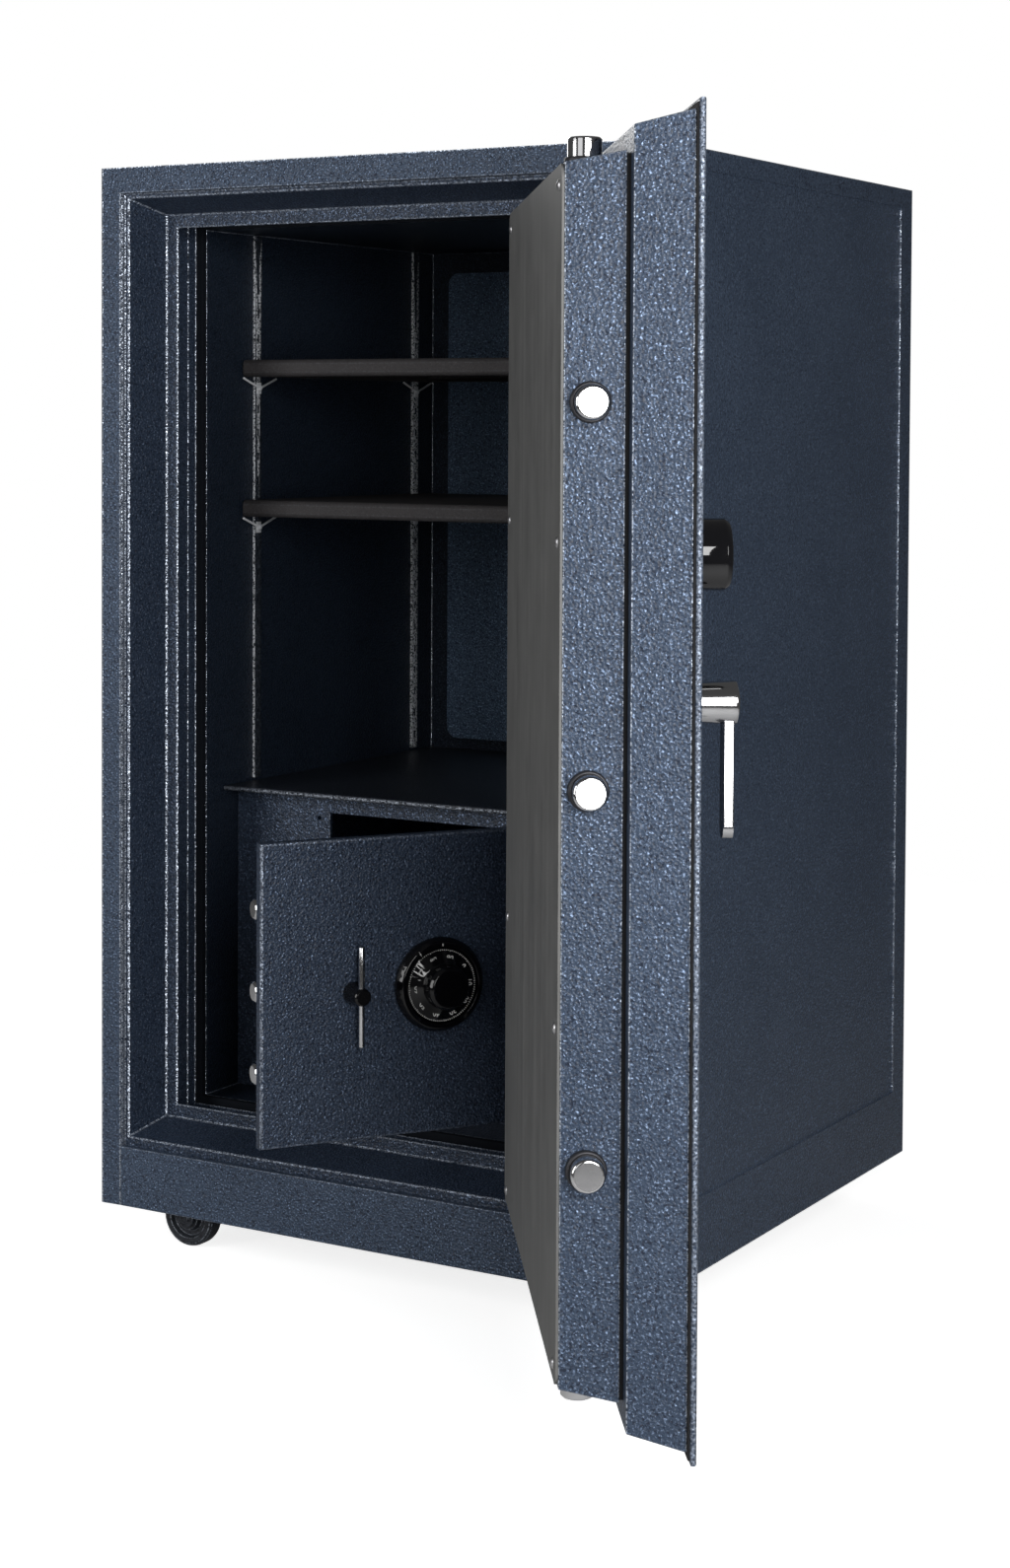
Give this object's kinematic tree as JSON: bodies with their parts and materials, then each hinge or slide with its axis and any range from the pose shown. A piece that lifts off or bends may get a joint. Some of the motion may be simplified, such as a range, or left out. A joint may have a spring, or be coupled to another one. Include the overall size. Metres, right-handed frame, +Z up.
{
  "type": "fireproof safe",
  "caption": "Insulated steel safe on casters with an open stepped door, two shelves and a locking inner chest.",
  "frame": {"origin": "centre of the body's flat underside, between the casters", "axes": "+Z up, -Y towards the doorway, +X towards the outer door's hinges"},
  "size_m": [0.9295, 1.1463, 1.114],
  "materials": {
    "shell_paint": "dark slate blue hammertone enamel, satin",
    "frame_paint": "dark slate blue hammertone enamel, satin",
    "interior_paint": "very dark blue hammertone enamel",
    "standard_paint": "dark enamel with bare bright edges",
    "chest_paint": "dark slate blue hammertone enamel, satin",
    "door_paint": "dark slate blue hammertone enamel, satin",
    "grey_strip": "matt grey board",
    "black_strip": "matt black",
    "insulation": "poured light mineral fill, rough",
    "shelf_paint": "matt warm grey enamel",
    "panel_steel": "dull grey, brushed upright",
    "chrome": "bright polished",
    "bright_wire": "bright drawn wire",
    "zinc": "zinc plated",
    "black_gloss": "high gloss black",
    "caster_paint": "dark enamel",
    "wheel_iron": "dark cast wheel"
  },
  "bodies": {
    "body": {"outer_shell": "shell_paint", "base_plate": "interior_paint", "front_skirt": "shell_paint", "door_frame": "frame_paint", "bolt_channel": "interior_paint", "thermal_break": "grey_strip", "body_fill": "insulation", "inner_liner": "interior_paint", "back_panel": "interior_paint", "shelf_standards": "standard_paint", "shelf_clips": "bright_wire", "upper_shelf": "shelf_paint", "lower_shelf": "shelf_paint", "chest_top_plate": "chest_paint", "chest_body": "chest_paint", "chest_front": "chest_paint", "hinge_leaves": "shell_paint", "hinge_pins": "zinc", "caster_plates": "zinc", "caster_bolts": "zinc"},
    "outer_door": {"door_plate": "door_paint", "door_seal": "black_strip", "door_plug": "door_paint", "door_fill": "insulation", "door_break": "black_strip", "bolt_box": "door_paint", "bolt_bushings": "chrome", "inner_panel": "panel_steel", "panel_screws": "zinc", "lock_body": "zinc", "dial_ring": "black_gloss", "handle_escutcheon": "chrome", "door_hinge_leaves": "door_paint"},
    "bolt_work": {"side_bolts": "chrome", "bolt_bar": "zinc"},
    "top_bolt_rod": {"top_bolt": "chrome"},
    "bottom_bolt_rod": {"bottom_bolt": "chrome"},
    "outer_dial": {"dial": "black_gloss"},
    "outer_handle": {"handle_hub": "chrome", "handle_lever": "chrome", "handle_cam": "zinc"},
    "chest_door_leaf": {"chest_door": "chest_paint", "chest_dial_ring": "black_gloss", "chest_lock_body": "zinc", "chest_bolt_guide": "zinc"},
    "chest_bolt_work": {"chest_bolts": "chrome", "chest_bolt_bar": "zinc"},
    "chest_handle": {"chest_handle_shank": "black_gloss", "chest_handle_bar": "chrome", "chest_cam": "zinc"},
    "chest_dial_knob": {"chest_dial": "black_gloss"},
    "caster_front_left": {"fork_front_left": "caster_paint"},
    "caster_wheel_front_left": {"wheel_front_left": "wheel_iron"},
    "caster_front_right": {"fork_front_right": "caster_paint"},
    "caster_wheel_front_right": {"wheel_front_right": "wheel_iron"},
    "caster_rear_left": {"fork_rear_left": "caster_paint"},
    "caster_wheel_rear_left": {"wheel_rear_left": "wheel_iron"},
    "caster_rear_right": {"fork_rear_right": "caster_paint"},
    "caster_wheel_rear_right": {"wheel_rear_right": "wheel_iron"}
  },
  "joints": [
    {"name": "outer_door_hinge", "type": "hinge", "parent": "body", "child": "outer_door", "pos_m": [0.2905, -0.32, 0.53], "axis": [0, 0, 1], "range_deg": [-124.5, 55.5]},
    {"name": "outer_handle_turn", "type": "hinge", "parent": "outer_door", "child": "outer_handle", "pos_m": [0.50993, -0.65516, 0.595], "axis": [-0.8241, -0.5664, 0], "range_deg": [0, 90]},
    {"name": "side_bolts_slide", "type": "slide", "parent": "outer_door", "child": "bolt_work", "axis": [-0.5664, 0.8241, 0], "range_m": [0, 0.016]},
    {"name": "top_bolt_slide", "type": "slide", "parent": "outer_door", "child": "top_bolt_rod", "axis": [0, 0, -1], "range_m": [0, 0.016]},
    {"name": "bottom_bolt_slide", "type": "slide", "parent": "outer_door", "child": "bottom_bolt_rod", "axis": [0, 0, 1], "range_m": [0, 0.016]},
    {"name": "outer_dial_turn", "type": "hinge", "parent": "outer_door", "child": "outer_dial", "pos_m": [0.50993, -0.65516, 0.709], "axis": [-0.8241, -0.5664, 0], "continuous": true},
    {"name": "chest_door_hinge", "type": "hinge", "parent": "body", "child": "chest_door_leaf", "pos_m": [0.19, -0.168, 0.27], "axis": [0, 0, 1], "range_deg": [-50.5, 22.6]},
    {"name": "chest_handle_turn", "type": "hinge", "parent": "chest_door_leaf", "child": "chest_handle", "pos_m": [0.0439, -0.38188, 0.269], "axis": [-0.8192, 0.5736, 0], "range_deg": [0, 90]},
    {"name": "chest_bolts_slide", "type": "slide", "parent": "chest_door_leaf", "child": "chest_bolt_work", "axis": [0.5736, 0.8192, 0], "range_m": [0, 0.022]},
    {"name": "chest_dial_turn", "type": "hinge", "parent": "chest_door_leaf", "child": "chest_dial_knob", "pos_m": [0.0938, -0.31061, 0.271], "axis": [-0.8192, 0.5736, 0], "continuous": true},
    {"name": "front_left_swivel", "type": "hinge", "parent": "body", "child": "caster_front_left", "pos_m": [-0.226, -0.254, 0.02], "axis": [0, 0, 1], "continuous": true},
    {"name": "front_left_roll", "type": "hinge", "parent": "caster_front_left", "child": "caster_wheel_front_left", "pos_m": [-0.242, -0.254, -0.016], "axis": [0, -1, 0], "continuous": true},
    {"name": "front_right_swivel", "type": "hinge", "parent": "body", "child": "caster_front_right", "pos_m": [0.226, -0.254, 0.02], "axis": [0, 0, 1], "continuous": true},
    {"name": "front_right_roll", "type": "hinge", "parent": "caster_front_right", "child": "caster_wheel_front_right", "pos_m": [0.21214, -0.246, -0.016], "axis": [-0.5, -0.866, 0], "continuous": true},
    {"name": "rear_left_swivel", "type": "hinge", "parent": "body", "child": "caster_rear_left", "pos_m": [-0.226, 0.254, 0.02], "axis": [0, 0, 1], "continuous": true},
    {"name": "rear_left_roll", "type": "hinge", "parent": "caster_rear_left", "child": "caster_wheel_rear_left", "pos_m": [-0.21097, 0.25947, -0.016], "axis": [-0.342, 0.9397, 0], "continuous": true},
    {"name": "rear_right_swivel", "type": "hinge", "parent": "body", "child": "caster_rear_right", "pos_m": [0.226, 0.254, 0.02], "axis": [0, 0, 1], "continuous": true},
    {"name": "rear_right_roll", "type": "hinge", "parent": "caster_rear_right", "child": "caster_wheel_rear_right", "pos_m": [0.21097, 0.24853, -0.016], "axis": [0.342, -0.9397, 0], "continuous": true}
  ],
  "couplings": [
    {"joint": "side_bolts_slide", "follows": "outer_handle_turn", "m_per_rad": 0.010186},
    {"joint": "top_bolt_slide", "follows": "outer_handle_turn", "m_per_rad": 0.010186},
    {"joint": "bottom_bolt_slide", "follows": "outer_handle_turn", "m_per_rad": 0.010186},
    {"joint": "chest_bolts_slide", "follows": "chest_handle_turn", "m_per_rad": 0.014006},
    {"joint": "chest_door_hinge", "follows": "outer_door_hinge", "ratio": 0.40562}
  ]
}
